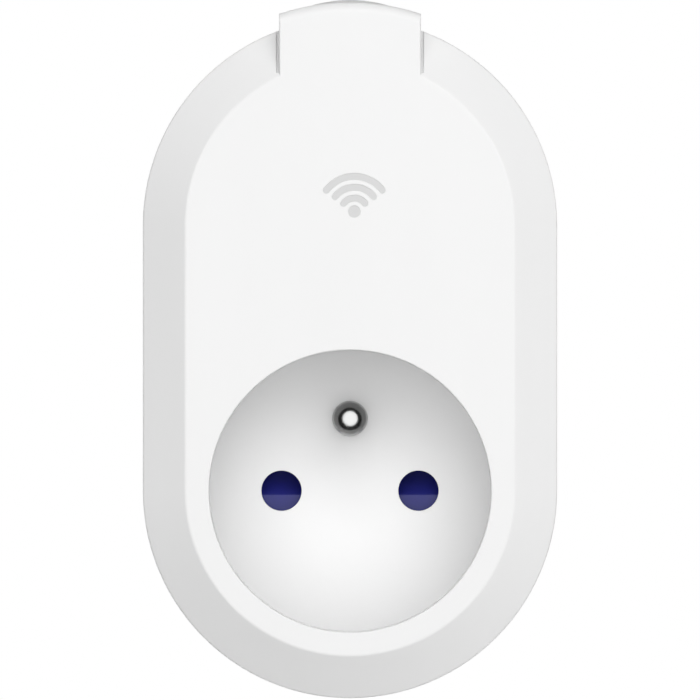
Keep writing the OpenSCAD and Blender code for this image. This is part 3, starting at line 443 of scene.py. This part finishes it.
def slab(bm, outline, y0, y1):
    """Extrudes a closed outline of (x, z) points, in mm, from y0 to y1, in metres."""
    rings = [[bm.verts.new((x * MM, y, z * MM)) for x, z in outline] for y in (y0, y1)]
    count = len(outline)
    bm.faces.new(rings[0])
    bm.faces.new(rings[1][::-1])
    for i in range(count):
        j = (i + 1) % count
        bm.faces.new((rings[0][i], rings[0][j], rings[1][j], rings[1][i]))


def rounded(x0, x1, z0, z1, r, steps=8):
    """Outline of a rectangle with round corners."""
    corners = [(x1 - r, z1 - r, 0), (x0 + r, z1 - r, 90), (x0 + r, z0 + r, 180), (x1 - r, z0 + r, 270)]
    return [polar(x, z, r, a + 90 * i / steps) for x, z, a in corners for i in range(steps + 1)]


def stroke(x, z, r, width, half, steps=28, cap=8):
    """Outline of an arc of mid radius r round (x, z), half degrees to each side of +Z, with round ends."""
    points = []
    for side, radius in ((1, r + width / 2), (-1, r - width / 2)):
        for i in range(steps + 1):
            points.append(polar(x, z, radius, 90 - side * (half - 2 * half * i / steps)))
        end_x, end_z = polar(x, z, r, 90 + side * half)
        for i in range(1, cap):
            turned = 0 if side > 0 else 180
            points.append(polar(end_x, end_z, width / 2, 90 + side * half - turned + 180 * i / cap))
    return points


# Windows of the pictogram, in mm: the middle radii of the arcs, the width of their stroke, the
# radius of the dot, and the degrees that an arc spans to each side
ICON_ARCS = (1.85, 3.35, 4.85)
ICON_STROKE, ICON_DOT, ICON_HALF = 0.78, 0.78, 53
ICON_DOT_RISE = 2.0        # from the light guide's lower edge up to the dot's middle
WINDOW_GROWS = 0.045       # each window is filled out to its edges, so that no dark gap shows
WINDOW_PROUD = 0.02        # the windows reach this far in front of the CAD's light guide
GUIDE_PLATE_T, GUIDE_PLATE_R = 1.0, 0.8
DOT_SIDES = 48


def icon_windows():
    """Light guide: a dot and three arcs that fill their windows, on one plate behind the face."""
    low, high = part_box("icon_light_guide")
    x = (low.x + high.x) / 2 / MM
    z = low.z / MM + ICON_DOT_RISE
    plate_y = high.y - GUIDE_PLATE_T * MM
    bm = bmesh.new()
    dot = [polar(x, z, ICON_DOT + WINDOW_GROWS, 360 * i / DOT_SIDES) for i in range(DOT_SIDES)]
    arcs = [stroke(x, z, r, ICON_STROKE + 2 * WINDOW_GROWS, ICON_HALF) for r in ICON_ARCS]
    for outline in [dot] + arcs:
        slab(bm, outline, low.y - WINDOW_PROUD * MM, plate_y)
    plate = rounded(low.x / MM, high.x / MM, low.z / MM, high.z / MM, GUIDE_PLATE_R)
    slab(bm, plate, plate_y, high.y)
    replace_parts(piece("icon_windows", bm, "light_guide", smooth=False), "icon_light_guide")


# Rating label, left blank: its size, the height of its middle, its corners, and the field that the
# rear shell sinks it in, in mm
LABEL_W, LABEL_H, LABEL_Z, LABEL_R = 31.0, 19.0, 41.8, 1.6
LABEL_T, LABEL_EDGE = 0.12, 0.04
FIELD_SINK, FIELD_GAP = 0.2, 0.002


def blank_label():
    """Thin label with softened edges in its sunk field on the back."""
    field_y = back_y - FIELD_SINK * MM
    outline = rounded(-LABEL_W / 2, LABEL_W / 2, LABEL_Z - LABEL_H / 2, LABEL_Z + LABEL_H / 2, LABEL_R)
    bm = bmesh.new()
    slab(bm, outline, field_y + FIELD_GAP * MM, field_y + LABEL_T * MM)
    edge = piece("blank_label", bm, "light_guide").modifiers.new("edge", "BEVEL")
    edge.width = LABEL_EDGE * MM
    edge.segments = 2


WIRE_R = 0.2 * MM
SPRING_TURNS, TURN_STEPS, WIRE_SIDES = 8, 36, 12
CLOSED_PITCH = 1.05        # pitch of the two end turns, in wire thicknesses


def coil_height(turn, closed):
    """Height along the spring, from 0 to 1. Each end turn climbs only by closed."""
    if turn < 1:
        return closed * turn
    if turn > SPRING_TURNS - 1:
        return 1 - closed * (SPRING_TURNS - turn)
    return closed + (1 - 2 * closed) * (turn - 1) / (SPRING_TURNS - 2)


def shutter_coil_spring():
    """Compression spring of round wire with a closed turn at each end, squashed by the shutter."""
    low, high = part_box("shutter_spring")
    coil_r = (high.x - low.x) / 2 - WIRE_R
    rise = high.z - low.z - 2 * WIRE_R
    foot = Vector(((low.x + high.x) / 2, (low.y + high.y) / 2, low.z + WIRE_R))
    closed = CLOSED_PITCH * 2 * WIRE_R / rise
    up = Vector((0, 0, 1))
    around = [2 * math.pi * k / WIRE_SIDES for k in range(WIRE_SIDES)]
    bm = bmesh.new()
    rings = []
    for i in range(SPRING_TURNS * TURN_STEPS + 1):
        turn = i / TURN_STEPS
        out = Vector((math.cos(2 * math.pi * turn), math.sin(2 * math.pi * turn), 0))
        centre = foot + rise * coil_height(turn, closed) * up + coil_r * out
        sides = [centre + WIRE_R * (math.cos(a) * out + math.sin(a) * up) for a in around]
        rings.append([bm.verts.new(side) for side in sides])
    for one, two in zip(rings, rings[1:]):
        for k in range(WIRE_SIDES):
            after = (k + 1) % WIRE_SIDES
            bm.faces.new((one[k], one[after], two[after], two[k]))
    bm.faces.new(rings[0])
    bm.faces.new(rings[-1])
    spring = piece("shutter_coil_spring", bm, "spring_steel")
    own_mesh(spring)
    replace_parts(spring, "shutter_spring")


icon_windows()
blank_label()
shutter_coil_spring()

# ---------------------------------------------------------------- floor

FLOOR_R, FLOOR_SIDES, FLOOR_PLACE = 0.9, 96, (0, 0.8, -0.3)

bm = bmesh.new()
bmesh.ops.create_circle(bm, cap_ends=True, segments=FLOOR_SIDES, radius=FLOOR_R,
                        matrix=Matrix.Translation(FLOOR_PLACE))
finished("floor", bm, paper("floor_finish"))
